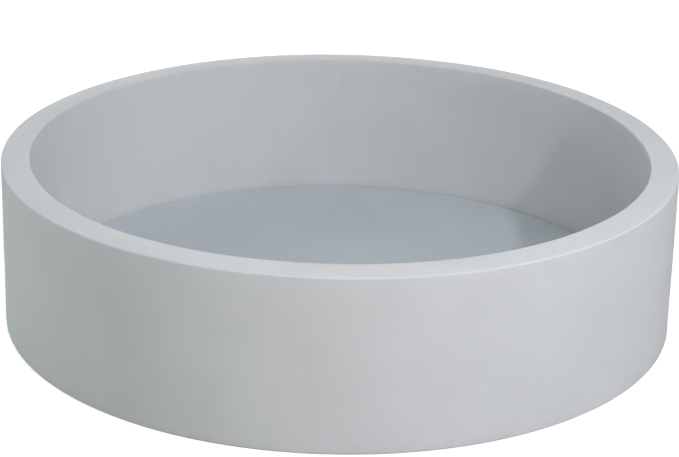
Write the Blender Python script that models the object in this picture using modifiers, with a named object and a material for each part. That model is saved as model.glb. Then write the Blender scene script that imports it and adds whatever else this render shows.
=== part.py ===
"""Round ball pit for small children, 120 cm across: a soft ring wall with a loose floor mat.

Units are metres and +Z is up. The origin is the centre of the base, and the side seen in the photograph
faces -Y. The wall is four foam arcs in one knit cover: a sleeve over both sides and the rim, and two
flat bands sewn on under the foot, which a coil zip joins.
The mat is a foam disc in a cover of its own, closed by a zip with moulded teeth across the bottom.
Along a zip, local +X points to its closed end and local Y lies across it.
"""

import math

import bmesh
import bpy
from mathutils import Matrix, Vector

# Wall
RING_DIAMETER = 1.200
WALL_HEIGHT = 0.300
WALL_THICKNESS = 0.050
RIM_ROUND = 0.009
FOOT_ROUND = 0.008
CLOTH = 0.0015
HEM_CLEARANCE = 0.0005
ARC_COUNT = 4

# Hook and loop pads on the foam arcs' ends
PAD_WIDTH = 0.030
PAD_HEIGHT = 0.220
PAD_THICKNESS = 0.0012
PAD_CORNER = 0.006

# Floor mat
MAT_THICKNESS = 0.040
MAT_CLEARANCE = 0.0006
MAT_ROUND = 0.008
MAT_CROWN = 0.002
MAT_SEAM_DRAW = 0.0012
MAT_HEM = 0.011

# Zips: what both have in common
TAPE = 0.0006
TAPE_LEAD = 0.020
SLIDER_LENGTH = 0.010
SLIDER_WING = 0.00075
SLIDER_RAIL = 0.0008
SLIDER_SPREAD = 0.0012
SLIDER_CORNER = 0.0015
SLIT_EASE = 0.0016
DIAMOND_TIP = 0.0006
BRIDGE_FLOOR = 0.0003
BRIDGE_LENGTH = 0.0064
BRIDGE_LEG = 0.0013
BRIDGE_WIDTH = 0.0022
PULL_LENGTH = 0.022
PULL_ARM = 0.0014
PULL_TAPER = 0.0006
STOP_LENGTH = 0.0020
STOP_WALL = 0.0005
STOP_GRIP = 0.0024

# Ring zip: nylon coil on the tape's inner side
COIL_REACH = 0.0026
COIL_HEIGHT = 0.0018
RING_TAPE_GAP = 0.0036
RING_TAPE_INSET = 0.0007
RING_ZIP_END_GAP = 0.070
PATCH_THICKNESS = 0.0006

# Mat zip: teeth moulded round the tape's edge
TOOTH_PITCH = 0.005
TOOTH_COUNT = 96
TOOTH_THICKNESS = 0.0024
TOOTH_ROOT = 0.0024
TOOTH_SHOULDER = 0.0006
TOOTH_TIP = 0.0020
TOOTH_STRIP = 0.0014
MAT_TAPE_GAP = 0.0060
MAT_TAPE_SEWN = 0.008
MAT_TAPE_SLANT = 0.0025
MAT_TAPE_FLAT = 0.0010
MAT_CHAIN_LIFT = 0.0007

# Clearances
FIT = 0.0003
FOAM_EASE = 0.0004
SLIDE_FIT = 0.00035
RUN = 0.0008
HEADROOM = 0.0005
OVERLAP = 0.0001
OVERRUN = 0.002
MERGE = 0.000001

# Shares of the sizes they follow
BRIDGE_SHARE = 0.36
BAR_SHARE = 0.72
PLATE_SHARE = 0.94
CROWN_RADIUS_SHARE = 0.6
CROWN_DROP_SHARE = 0.25
TOOTH_ROOT_SHARE = 0.107
TOOTH_SHOULDER_SHARE = 0.257
TOOTH_TIP_SHARE = 0.12
FOLD_SHARE = 0.6

# Facets
RING_STEPS = 60
ZIP_STEPS = 60
PANEL_STEPS = 30
RIM_STEPS = 3
FOOT_STEPS = 2
SKIN_STEPS = 2
BAR_SIDES = 12
SHARP_ANGLE = math.radians(35)

# Derived radii
OUTER = RING_DIAMETER / 2
INNER = OUTER - WALL_THICKNESS
MIDDLE = (OUTER + INNER) / 2
MAT_RADIUS = INNER - MAT_CLEARANCE
MAT_SEAM_RADIUS = MAT_RADIUS - MAT_SEAM_DRAW
CHAIN_RADIUS = MIDDLE * (1 + math.cos(math.pi / ZIP_STEPS)) / 2
HEM_TOP = 2 * CLOTH


class ZipSizes:
    """The heights and half widths that the pieces of one zip share."""

    def __init__(self, chain_half, tape_edge, tape_low, chain_low, chain_high):
        self.chain_half = chain_half
        self.tape_edge = tape_edge
        self.tape_low = tape_low
        self.tape_high = tape_low + TAPE
        self.lower_top = chain_low - SLIDE_FIT
        self.lower_bottom = self.lower_top - SLIDER_WING
        self.upper_bottom = chain_high + SLIDE_FIT
        self.upper_top = self.upper_bottom + SLIDER_WING
        self.rear_half = chain_half + RUN + SLIDER_RAIL
        self.front_half = self.rear_half + SLIDER_SPREAD
        self.slit_half = self.front_half + SLIT_EASE
        space = self.lower_bottom - BRIDGE_FLOOR
        self.bridge_top = BRIDGE_FLOOR + BRIDGE_SHARE * space
        self.pivot = (self.bridge_top + self.lower_bottom) / 2
        self.bar = BAR_SHARE * (self.lower_bottom - self.bridge_top)
        self.recess_top = self.upper_top + HEADROOM


RING_ZIP = ZipSizes(
    chain_half=COIL_REACH,
    tape_edge=RING_TAPE_GAP / 2,
    tape_low=HEM_TOP + FIT,
    chain_low=HEM_TOP + FIT,
    chain_high=HEM_TOP + FIT + TAPE + FIT + COIL_HEIGHT,
)
MAT_ZIP = ZipSizes(
    chain_half=TOOTH_ROOT + TOOTH_STRIP,
    tape_edge=MAT_TAPE_GAP / 2,
    tape_low=HEM_TOP + MAT_CHAIN_LIFT + (TOOTH_THICKNESS - TAPE) / 2,
    chain_low=HEM_TOP + MAT_CHAIN_LIFT,
    chain_high=HEM_TOP + MAT_CHAIN_LIFT + TOOTH_THICKNESS,
)
BAND_EDGE = WALL_THICKNESS / 2 - FOOT_ROUND - FIT
RING_HEM_END = BAND_EDGE - HEM_CLEARANCE
RING_FOAM_LOW = RING_ZIP.tape_high + FOAM_EASE

# Places along the zips: the ring's are angles round the middle of the wall, the mat's run along X
BACK = math.pi / 2
RING_TAPE_START = BACK + RING_ZIP_END_GAP / 2 / MIDDLE
RING_TAPE_END = BACK + 2 * math.pi - RING_ZIP_END_GAP / 2 / MIDDLE
SLIDER_TO_STOP = SLIDER_LENGTH / 2 + FIT
RING_SLIDER_TURN = RING_TAPE_START + (TAPE_LEAD + STOP_LENGTH + SLIDER_TO_STOP) / MIDDLE
RING_COIL_START = RING_SLIDER_TURN - (DIAMOND_TIP - FIT) / MIDDLE
RING_STOP_TURN = RING_TAPE_END - (TAPE_LEAD + STOP_LENGTH / 2) / MIDDLE
RING_COIL_END = RING_STOP_TURN - (STOP_LENGTH / 2 + FIT) / MIDDLE
MAT_TEETH_LENGTH = TOOTH_PITCH * TOOTH_COUNT
MAT_SLIDER_X = MAT_TEETH_LENGTH / 2 - DIAMOND_TIP + FIT
MAT_TOP_STOP_X = MAT_SLIDER_X + SLIDER_TO_STOP + STOP_LENGTH / 2
MAT_TAPE_FRONT_X = MAT_TOP_STOP_X + STOP_LENGTH / 2 + TAPE_LEAD
MAT_STOP_X = -MAT_TEETH_LENGTH / 2 - FIT - STOP_LENGTH / 2
MAT_TAPE_REAR_X = MAT_STOP_X - STOP_LENGTH / 2 - TAPE_LEAD

# Colours, linear
KNIT_GREY = (0.45, 0.49, 0.51)
MAT_GREY = (0.36, 0.42, 0.47)
FOAM_WHITE = (0.80, 0.79, 0.74)
TAPE_GREY = (0.34, 0.37, 0.39)
NYLON_GREY = (0.42, 0.45, 0.47)
HOOK_GREY = (0.22, 0.23, 0.24)
LOOP_GREY = (0.62, 0.63, 0.64)
ZINC = (0.62, 0.63, 0.65)


def clear_scene():
    for old in list(bpy.data.objects):
        bpy.data.objects.remove(old, do_unlink=True)


def new_collection(name):
    collection = bpy.data.collections.new(name)
    bpy.context.scene.collection.children.link(collection)
    return collection


def new_material(name, colour, roughness, metallic=0.0):
    material = bpy.data.materials.new(name)
    material.use_nodes = True
    shader = material.node_tree.nodes["Principled BSDF"]
    shader.inputs["Base Color"].default_value = (*colour, 1.0)
    shader.inputs["Roughness"].default_value = roughness
    shader.inputs["Metallic"].default_value = metallic
    return material


def new_empty(name, location=(0, 0, 0), turn=0):
    empty = bpy.data.objects.new(name, None)
    empty.location = location
    empty.rotation_euler = (0, 0, turn)
    PARTS.objects.link(empty)
    return empty


def new_object(name, bm, material, parent=None, location=(0, 0, 0), turn=0):
    """The bmesh as a named piece with smooth shading and sharp corners."""
    mesh = bpy.data.meshes.new(name)
    bm.to_mesh(mesh)
    bm.free()
    mesh.materials.append(material)
    if mesh.polygons:
        mesh.shade_smooth()
        mesh.set_sharp_from_angle(angle=SHARP_ANGLE)
    piece = bpy.data.objects.new(name, mesh)
    PARTS.objects.link(piece)
    piece.parent = parent
    piece.location = location
    piece.rotation_euler = (0, 0, turn)
    return piece


def arc_points(centre, radius, start, end, steps):
    """Points of an arc in a profile; angles in degrees, 0 pointing outwards and 90 up."""
    angles = [math.radians(start + (end - start) * i / steps) for i in range(steps + 1)]
    return [
        (centre[0] + radius * math.cos(a), centre[1] + radius * math.sin(a)) for a in angles
    ]


def turned(name, profile, material, closed=True, parent=None):
    """A profile of (radius, height) points turned all the way round by a Screw modifier."""
    bm = bmesh.new()
    verts = [bm.verts.new((r, 0, z)) for r, z in profile]
    for first, second in zip(verts, verts[1:] + verts[:1] if closed else verts[1:]):
        bm.edges.new((first, second))
    piece = new_object(name, bm, material, parent)
    screw = piece.modifiers.new("turn", "SCREW")
    screw.steps = RING_STEPS
    screw.render_steps = RING_STEPS
    screw.use_merge_vertices = True
    screw.merge_threshold = MERGE
    screw.use_smooth_shade = True
    return piece


def turned_arc(profile, start, end, steps):
    """A closed profile of (radius, height) points swept through part of a turn, with flat ends."""
    bm = bmesh.new()
    verts = [bm.verts.new((r * math.cos(start), r * math.sin(start), z)) for r, z in profile]
    face = bm.faces.new(verts)
    bmesh.ops.spin(
        bm,
        geom=[face, *face.edges, *face.verts],
        cent=(0, 0, 0),
        axis=(0, 0, 1),
        angle=end - start,
        steps=steps,
    )
    bmesh.ops.recalc_face_normals(bm, faces=bm.faces)
    return bm


def prism(points, offset):
    """A flat outline given in 3D, drawn out along offset."""
    bm = bmesh.new()
    face = bm.faces.new([bm.verts.new(p) for p in points])
    drawn = bmesh.ops.extrude_face_region(bm, geom=[face])
    moved = [item for item in drawn["geom"] if isinstance(item, bmesh.types.BMVert)]
    bmesh.ops.translate(bm, verts=moved, vec=offset)
    bmesh.ops.recalc_face_normals(bm, faces=bm.faces)
    return bm


def plate(outline, low, high):
    """A prism of an outline in plan, from height low to height high."""
    return prism([(x, y, low) for x, y in outline], (0, 0, high - low))


def rail(section, rear, front):
    """A prism of a (y, z) section, from x = rear to x = front."""
    return prism([(rear, y, z) for y, z in section], (front - rear, 0, 0))


def rectangle(left, right, low, high):
    return [(left, low), (right, low), (right, high), (left, high)]


def helper(name, bm):
    """A cutter, or a shape that is joined to a piece, hidden from renders."""
    mesh = bpy.data.meshes.new(name)
    bm.to_mesh(mesh)
    bm.free()
    tool = bpy.data.objects.new(name, mesh)
    HELPERS.objects.link(tool)
    tool.hide_render = True
    tool.display_type = "WIRE"
    return tool


def boolean(piece, bm, operation):
    """Joins or cuts piece with a helper that sits where the piece does."""
    tool = helper(f"{piece.name}_{operation.lower()}_{len(piece.modifiers)}", bm)
    tool.parent = piece
    modifier = piece.modifiers.new(tool.name, "BOOLEAN")
    modifier.operation = operation
    modifier.object = tool
    modifier.solver = "EXACT"


def make_wall_cover(material):
    """The knit sleeve: from the foot's inner seam up the well's side, over the rim and down to the outer seam."""
    foot_in = (INNER + FOOT_ROUND, FOOT_ROUND)
    foot_out = (OUTER - FOOT_ROUND, FOOT_ROUND)
    rim_in = (INNER + RIM_ROUND, WALL_HEIGHT - RIM_ROUND)
    rim_out = (OUTER - RIM_ROUND, WALL_HEIGHT - RIM_ROUND)
    outside = [
        *arc_points(foot_in, FOOT_ROUND, 270, 180, FOOT_STEPS),
        *arc_points(rim_in, RIM_ROUND, 180, 90, RIM_STEPS),
        *arc_points(rim_out, RIM_ROUND, 90, 0, RIM_STEPS),
        *arc_points(foot_out, FOOT_ROUND, 0, -90, FOOT_STEPS),
    ]
    inside = [
        *arc_points(foot_out, FOOT_ROUND - CLOTH, -90, 0, SKIN_STEPS),
        *arc_points(rim_out, RIM_ROUND - CLOTH, 0, 90, SKIN_STEPS),
        *arc_points(rim_in, RIM_ROUND - CLOTH, 90, 180, SKIN_STEPS),
        *arc_points(foot_in, FOOT_ROUND - CLOTH, 180, 270, SKIN_STEPS),
    ]
    turned("wall_cover", outside + inside, material)


def make_base_bands(material):
    """Two flat rings of the same knit under the foot, each with its free edge folded into a hem at the slit."""
    slit = RING_ZIP.slit_half
    fold = FOLD_SHARE * CLOTH
    section = [
        (BAND_EDGE, 0),
        (BAND_EDGE, CLOTH),
        (RING_HEM_END, CLOTH),
        (RING_HEM_END, HEM_TOP),
        (slit + fold, HEM_TOP),
        (slit, CLOTH),
        (slit + fold, 0),
    ]
    turned("base_band_outer", [(MIDDLE + y, z) for y, z in reversed(section)], material)
    turned("base_band_inner", [(MIDDLE - y, z) for y, z in section], material)


def foam_profile():
    """The wall's foam in section, with the channel that the zip presses into its underside."""
    slit = RING_ZIP.slit_half
    half = WALL_THICKNESS / 2 - CLOTH - FOAM_EASE
    rim_in = (INNER + RIM_ROUND, WALL_HEIGHT - RIM_ROUND)
    rim_out = (OUTER - RIM_ROUND, WALL_HEIGHT - RIM_ROUND)
    rim_radius = RIM_ROUND - CLOTH - FOAM_EASE
    facet = math.cos(math.pi / 4 / SKIN_STEPS)
    foot_radius = (FOOT_ROUND - CLOTH) * facet - FOAM_EASE
    rise = FOOT_ROUND - RING_FOAM_LOW
    foot_reach = WALL_THICKNESS / 2 - FOOT_ROUND + math.sqrt(foot_radius**2 - rise**2)
    return [
        *arc_points(rim_in, rim_radius, 180, 90, SKIN_STEPS),
        *arc_points(rim_out, rim_radius, 90, 0, SKIN_STEPS),
        (MIDDLE + half, FOOT_ROUND),
        (MIDDLE + foot_reach, RING_FOAM_LOW),
        (MIDDLE + slit, RING_FOAM_LOW),
        (MIDDLE + slit, RING_ZIP.recess_top),
        (MIDDLE - slit, RING_ZIP.recess_top),
        (MIDDLE - slit, RING_FOAM_LOW),
        (MIDDLE - foot_reach, RING_FOAM_LOW),
        (MIDDLE - half, FOOT_ROUND),
    ]


def make_foam_arcs(material):
    """Four equal arcs whose ends leave room for a hook pad and a loop pad."""
    arc = 2 * math.pi / ARC_COUNT
    end_gap = (FIT / 2 + PAD_THICKNESS + FIT) / MIDDLE
    steps = RING_STEPS // ARC_COUNT
    for number in range(ARC_COUNT):
        start = number * arc + end_gap
        bm = turned_arc(foam_profile(), start, start + arc - 2 * end_gap, steps)
        new_object(f"foam_arc_{number + 1}", bm, material)


def make_pads(hook_material, loop_material):
    """A hook pad on one arc's end and a loop pad on the next, face to face at each joint of the foam."""
    low = (WALL_HEIGHT - PAD_HEIGHT) / 2
    wide = PAD_WIDTH / 2
    corner = PAD_CORNER
    outline = [
        (-wide + corner, low),
        (wide - corner, low),
        (wide, low + corner),
        (wide, low + PAD_HEIGHT - corner),
        (wide - corner, low + PAD_HEIGHT),
        (-wide + corner, low + PAD_HEIGHT),
        (-wide, low + PAD_HEIGHT - corner),
        (-wide, low + corner),
    ]
    for number in range(ARC_COUNT):
        turn = number * 2 * math.pi / ARC_COUNT
        for name, side, material in (("hook", -1, hook_material), ("loop", 1, loop_material)):
            points = [(MIDDLE + x, side * FIT / 2, z) for x, z in outline]
            bm = prism(points, (0, side * PAD_THICKNESS, 0))
            new_object(f"{name}_pad_{number + 1}", bm, material, turn=turn)


def make_ring_zip(tape_material, coil_material, cloth_material, metal):
    """Two tapes sewn on the hems, each with its half of the coil, and a patch over the zip's two ends."""
    zipper = RING_ZIP
    tape_far = RING_HEM_END - RING_TAPE_INSET
    coil_low = zipper.tape_high + FIT
    coil_high = coil_low + COIL_HEIGHT
    for side_name, side in (("outer", 1), ("inner", -1)):
        tape = sorted((MIDDLE + side * zipper.tape_edge, MIDDLE + side * tape_far))
        coil = sorted((MIDDLE + side * FIT / 2, MIDDLE + side * COIL_REACH))
        bm = turned_arc(
            rectangle(*tape, zipper.tape_low, zipper.tape_high),
            RING_TAPE_START,
            RING_TAPE_END,
            ZIP_STEPS,
        )
        new_object(f"ring_zip_tape_{side_name}", bm, tape_material)
        bm = turned_arc(
            rectangle(*coil, coil_low, coil_high), RING_COIL_START, RING_COIL_END, ZIP_STEPS
        )
        new_object(f"ring_zip_coil_{side_name}", bm, coil_material)
        turn = RING_SLIDER_TURN - (SLIDER_TO_STOP + STOP_LENGTH / 2) / MIDDLE
        make_top_stop(f"ring_zip_top_stop_{side_name}", zipper, side, metal, ring_place(turn))
    make_bottom_stop("ring_zip_bottom_stop", zipper, metal, ring_place(RING_STOP_TURN))
    patch = rectangle(
        MIDDLE - tape_far, MIDDLE + tape_far, zipper.tape_low, zipper.tape_low + PATCH_THICKNESS
    )
    start = RING_TAPE_END + FIT / MIDDLE
    end = RING_TAPE_START + 2 * math.pi - FIT / MIDDLE
    new_object("ring_zip_end_patch", turned_arc(patch, start, end, 2), cloth_material)


def ring_place(turn):
    """Location and rotation of a piece that sits on the ring zip's centre line at this angle."""
    place = (CHAIN_RADIUS * math.cos(turn), CHAIN_RADIUS * math.sin(turn), 0)
    return {"location": place, "turn": turn - math.pi / 2}


def make_top_stop(name, zipper, side, material, place):
    """A clip pinched round one tape's edge."""
    near = zipper.tape_edge - FIT
    low = zipper.tape_low - FIT
    high = zipper.tape_high + FIT
    far = near + STOP_GRIP
    section = [
        (far, low),
        (near, low),
        (near, high),
        (far, high),
        (far, high + STOP_WALL),
        (near - STOP_WALL, high + STOP_WALL),
        (near - STOP_WALL, low - STOP_WALL),
        (far, low - STOP_WALL),
    ]
    bm = rail([(side * y, z) for y, z in section], -STOP_LENGTH / 2, STOP_LENGTH / 2)
    new_object(name, bm, material, **place)


def make_bottom_stop(name, zipper, material, place):
    """One clip that holds both tapes' edges together where the chain ends."""
    web = zipper.tape_edge - FIT
    low = zipper.tape_low - FIT
    high = zipper.tape_high + FIT
    far = zipper.tape_edge + STOP_GRIP
    half = [
        (far, low - STOP_WALL),
        (far, low),
        (web, low),
        (web, high),
        (far, high),
        (far, high + STOP_WALL),
    ]
    section = half + [(-y, z) for y, z in reversed(half)]
    bm = rail(section, -STOP_LENGTH / 2, STOP_LENGTH / 2)
    new_object(name, bm, material, **place)


def slider_outline(zipper):
    """The wing in plan: broad at the front, where the two halves of the chain come in."""
    end = SLIDER_LENGTH / 2
    rear = zipper.rear_half
    front = zipper.front_half
    corner = SLIDER_CORNER
    half = [
        (-end, rear - corner),
        (-end + corner, rear),
        (end - corner, front),
        (end, front - corner),
    ]
    return half + [(x, -y) for x, y in reversed(half)]


def rail_outline(zipper, side):
    """One side wall of the slider in plan, along the wing's slanted edge."""
    end = SLIDER_LENGTH / 2 - SLIDER_CORNER
    outer = [(-end, zipper.rear_half - OVERLAP), (end, zipper.front_half - OVERLAP)]
    inner = [(x, y - SLIDER_RAIL + OVERLAP) for x, y in reversed(outer)]
    return [(x, side * y) for x, y in outer + inner]


def make_slider(name, zipper, material, parent=None, location=(0, 0, 0)):
    """Two wings joined by the diamond at the front, side rails, and the bridge that carries the pull."""
    end = SLIDER_LENGTH / 2
    outline = slider_outline(zipper)
    bm = plate(outline, zipper.lower_bottom, zipper.lower_top)
    slider = new_object(name, bm, material, parent, location)
    boolean(slider, plate(outline, zipper.upper_bottom, zipper.upper_top), "UNION")
    wedge = zipper.tape_edge - RUN
    diamond = [(end - OVERLAP, -wedge), (end - OVERLAP, wedge), (DIAMOND_TIP, 0)]
    low = zipper.lower_top - OVERLAP
    high = zipper.upper_bottom + OVERLAP
    boolean(slider, plate(diamond, low, high), "UNION")
    for side in (-1, 1):
        wall = rail_outline(zipper, side)
        boolean(slider, plate(wall, zipper.tape_high + SLIDE_FIT, high), "UNION")
        if zipper.tape_low - SLIDE_FIT > zipper.lower_top + OVERLAP:
            boolean(slider, plate(wall, low, zipper.tape_low - SLIDE_FIT), "UNION")
    boolean(slider, bridge_shape(zipper), "UNION")
    return slider


def bridge_shape(zipper):
    """The arch under the slider, from the side: two legs and a flat crown with bevelled ends."""
    out = BRIDGE_LENGTH / 2
    leg = out - BRIDGE_LEG
    top = zipper.lower_bottom + OVERLAP
    bevel = zipper.bridge_top - BRIDGE_FLOOR
    tunnel = [(-leg, top), (-leg, zipper.bridge_top), (leg, zipper.bridge_top), (leg, top)]
    shoulder = [(out, top), (out, BRIDGE_FLOOR + bevel), (out - bevel, BRIDGE_FLOOR)]
    side = tunnel + shoulder + [(-x, z) for x, z in reversed(shoulder)]
    points = [(x, -BRIDGE_WIDTH / 2, z) for x, z in side]
    return prism(points, (0, BRIDGE_WIDTH, 0))


def make_pull(name, zipper, material, slider):
    """A tapered tab with a window round the bridge; its round bar is the pivot, at the origin."""
    window_half = BRIDGE_WIDTH / 2 + zipper.bar / 2
    window_end = BRIDGE_LENGTH / 2 + zipper.bar / 2
    root = window_half + PULL_ARM
    tail = root - PULL_TAPER
    corner = SLIDER_CORNER
    thick = PLATE_SHARE * zipper.bar
    half = [
        (0, root),
        (-window_end, root),
        (-PULL_LENGTH + corner, tail),
        (-PULL_LENGTH, tail - corner),
    ]
    outline = half + [(x, -y) for x, y in reversed(half)]
    bm = plate(outline, -thick / 2, thick / 2)
    pull = new_object(name, bm, material, slider, (0, 0, zipper.pivot))
    window = rectangle(-window_end, zipper.bar, -window_half, window_half)
    boolean(pull, plate(window, -zipper.bar, zipper.bar), "DIFFERENCE")
    bar = bmesh.new()
    bmesh.ops.create_cone(
        bar,
        cap_ends=True,
        segments=BAR_SIDES,
        radius1=zipper.bar / 2,
        radius2=zipper.bar / 2,
        depth=2 * root,
        matrix=Matrix.Rotation(math.pi / 2, 4, "X"),
    )
    boolean(pull, bar, "UNION")


def mat_top_height(radius):
    """The crowned top of the mat: full height at the centre, lower by the crown where the corner starts."""
    edge = MAT_SEAM_RADIUS - MAT_ROUND
    if radius <= CROWN_RADIUS_SHARE * edge:
        drop = CROWN_DROP_SHARE * radius / (CROWN_RADIUS_SHARE * edge)
    else:
        past = (radius / edge - CROWN_RADIUS_SHARE) / (1 - CROWN_RADIUS_SHARE)
        drop = CROWN_DROP_SHARE + (1 - CROWN_DROP_SHARE) * past
    return MAT_THICKNESS - MAT_CROWN * drop


def crowned_top(depth):
    """The mat's top in section from the axis to its side, set in by depth under the outer skin."""
    edge = MAT_SEAM_RADIUS - MAT_ROUND
    shoulder = CROWN_RADIUS_SHARE * edge
    centre = (edge, mat_top_height(edge) - MAT_ROUND)
    return [
        (0, mat_top_height(0) - depth),
        (shoulder, mat_top_height(shoulder) - depth),
        *arc_points(centre, MAT_ROUND - depth, 90, 0, SKIN_STEPS),
    ]


def make_mat_cover(lift, material):
    """Top panel, side band drawn in at its two seams, and the bottom in two halves with the slit between."""
    turned(
        "mat_top_panel",
        crowned_top(0) + crowned_top(CLOTH)[::-1],
        material,
        closed=False,
        parent=lift,
    )
    high = mat_top_height(MAT_SEAM_RADIUS - MAT_ROUND) - MAT_ROUND - FIT
    low = CLOTH + FIT
    skin = [(MAT_SEAM_RADIUS, high), (MAT_RADIUS, (high + low) / 2), (MAT_SEAM_RADIUS, low)]
    band = skin + [(r - CLOTH, z) for r, z in reversed(skin)]
    turned("mat_side_band", band, material, parent=lift)
    slit = MAT_ZIP.slit_half
    start = math.asin(FIT / 2 / MAT_SEAM_RADIUS)
    angles = [start + (math.pi - 2 * start) * i / PANEL_STEPS for i in range(PANEL_STEPS + 1)]
    edge = [(MAT_SEAM_RADIUS * math.cos(a), MAT_SEAM_RADIUS * math.sin(a)) for a in angles]
    notch = [
        (MAT_TAPE_REAR_X, FIT / 2),
        (MAT_TAPE_REAR_X, slit),
        (MAT_TAPE_FRONT_X, slit),
        (MAT_TAPE_FRONT_X, FIT / 2),
    ]
    hem = rectangle(MAT_TAPE_REAR_X, MAT_TAPE_FRONT_X, slit, slit + MAT_HEM)
    for name, side in (("back", 1), ("front", -1)):
        outline = [(x, side * y) for x, y in edge + notch]
        bm = plate(outline, 0, CLOTH)
        panel = new_object(f"mat_bottom_panel_{name}", bm, material, lift)
        hem_plan = [(x, side * y) for x, y in hem]
        boolean(panel, plate(hem_plan, CLOTH / 2, HEM_TOP), "UNION")


def make_mat_foam(lift, material):
    """The foam disc, with a shallow trough over the hems and a deeper channel over the chain."""
    depth = CLOTH + FOAM_EASE
    top = crowned_top(depth)
    outline = top + [(top[-1][0], depth), (0, depth)]
    foam = turned("mat_foam", outline, material, closed=False, parent=lift)
    slit = MAT_ZIP.slit_half
    hem = slit + MAT_HEM + FOAM_EASE
    tape_top = HEM_TOP + FIT + TAPE + FOAM_EASE
    channel = slit + MAT_TAPE_SLANT
    rear = MAT_TAPE_REAR_X - FOAM_EASE
    front = MAT_TAPE_FRONT_X + FOAM_EASE
    for half, ceiling in ((hem, tape_top), (channel, MAT_ZIP.recess_top)):
        cut = rail(rectangle(-half, half, depth - OVERRUN, ceiling), rear, front)
        boolean(foam, cut, "DIFFERENCE")


def tooth_row(side):
    """One row of teeth in plan: a strip with a tooth at each pitch, the two rows half a pitch apart."""
    root = TOOTH_ROOT_SHARE * TOOTH_PITCH
    shoulder = TOOTH_SHOULDER_SHARE * TOOTH_PITCH
    tip = TOOTH_TIP_SHARE * TOOTH_PITCH
    first = -MAT_TEETH_LENGTH / 2 + TOOTH_PITCH * (1 if side > 0 else 3) / 4
    points = []
    for number in range(TOOTH_COUNT):
        x = first + number * TOOTH_PITCH
        points += [
            (x - root, TOOTH_ROOT),
            (x - shoulder, -TOOTH_SHOULDER),
            (x - tip, -TOOTH_TIP),
            (x + tip, -TOOTH_TIP),
            (x + shoulder, -TOOTH_SHOULDER),
            (x + root, TOOTH_ROOT),
        ]
    far = TOOTH_ROOT + TOOTH_STRIP
    end = MAT_TEETH_LENGTH / 2
    points += [(end, TOOTH_ROOT), (end, far), (-end, far), (-end, TOOTH_ROOT)]
    return [(x, side * y) for x, y in points]


def make_mat_zip(lift, tape_material, teeth_material, metal):
    """Tapes that rise from the hems to the chain, with moulded teeth that grip their edges."""
    zipper = MAT_ZIP
    sewn_low = HEM_TOP + FIT
    flat = zipper.front_half + MAT_TAPE_FLAT
    sewn = flat + MAT_TAPE_SLANT
    far = sewn + MAT_TAPE_SEWN
    under = [
        (far, sewn_low),
        (sewn, sewn_low),
        (flat, zipper.tape_low),
        (zipper.tape_edge, zipper.tape_low),
    ]
    section = under + [(y, z + TAPE) for y, z in reversed(under)]
    chain_low = zipper.lower_top + SLIDE_FIT
    slot = rectangle(
        zipper.tape_edge - FIT,
        zipper.chain_half + OVERRUN,
        zipper.tape_low - FIT,
        zipper.tape_high + FIT,
    )
    end = MAT_TEETH_LENGTH / 2 + OVERRUN
    for name, side in (("back", 1), ("front", -1)):
        bm = rail([(side * y, z) for y, z in section], MAT_TAPE_REAR_X, MAT_TAPE_FRONT_X)
        new_object(f"mat_zip_tape_{name}", bm, tape_material, lift)
        bm = plate(tooth_row(side), chain_low, chain_low + TOOTH_THICKNESS)
        teeth = new_object(f"mat_zip_teeth_{name}", bm, teeth_material, lift)
        boolean(teeth, rail([(side * y, z) for y, z in slot], -end, end), "DIFFERENCE")
        place = {"parent": lift, "location": (MAT_TOP_STOP_X, 0, 0)}
        make_top_stop(f"mat_zip_top_stop_{name}", zipper, side, metal, place)
    place = {"parent": lift, "location": (MAT_STOP_X, 0, 0)}
    make_bottom_stop("mat_zip_bottom_stop", zipper, metal, place)


def report_joints():
    """Prints the joints' axes and travels, which follow from the sizes."""
    turn = RING_COIL_END - FIT / MIDDLE - RING_SLIDER_TURN - SLIDER_LENGTH / 2 / MIDDLE
    travel = MAT_SLIDER_X - SLIDER_LENGTH / 2 + MAT_TEETH_LENGTH / 2
    radial = Vector((math.cos(RING_SLIDER_TURN), math.sin(RING_SLIDER_TURN), 0))
    pivot = radial * CHAIN_RADIUS + Vector((0, 0, RING_ZIP.pivot))
    print("ring zip slider turns about +Z through the origin, degrees", math.degrees(turn))
    print("ring zip pull: pivot", list(pivot), "axis", list(-radial))
    print("mat zip slider travels along -X", travel)
    print("mat zip pull: pivot", [MAT_SLIDER_X, 0, MAT_ZIP.pivot], "axis", [0, -1, 0])


def main():
    knit = new_material("knit_cloth", KNIT_GREY, 0.85)
    mat_cloth = new_material("mat_cloth", MAT_GREY, 0.85)
    foam = new_material("foam", FOAM_WHITE, 0.9)
    tape = new_material("zip_tape", TAPE_GREY, 0.8)
    nylon = new_material("zip_nylon", NYLON_GREY, 0.4)
    hook = new_material("hook_pad", HOOK_GREY, 0.7)
    loop = new_material("loop_pad", LOOP_GREY, 0.9)
    metal = new_material("zip_metal", ZINC, 0.35, 1.0)

    make_wall_cover(knit)
    make_base_bands(knit)
    make_foam_arcs(foam)
    make_pads(hook, loop)
    make_ring_zip(tape, nylon, knit, metal)
    travel = new_empty("ring_zip_travel", turn=RING_SLIDER_TURN - math.pi / 2)
    place = (0, CHAIN_RADIUS, 0)
    slider = make_slider("ring_zip_slider", RING_ZIP, metal, travel, place)
    make_pull("ring_zip_pull", RING_ZIP, metal, slider)

    lift = new_empty("mat_lift")
    make_mat_cover(lift, mat_cloth)
    make_mat_foam(lift, foam)
    make_mat_zip(lift, tape, nylon, metal)
    slider = make_slider("mat_zip_slider", MAT_ZIP, metal, lift, (MAT_SLIDER_X, 0, 0))
    make_pull("mat_zip_pull", MAT_ZIP, metal, slider)
    report_joints()


clear_scene()
PARTS = new_collection("ball_pit")
HELPERS = new_collection("cutters")
main()
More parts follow.
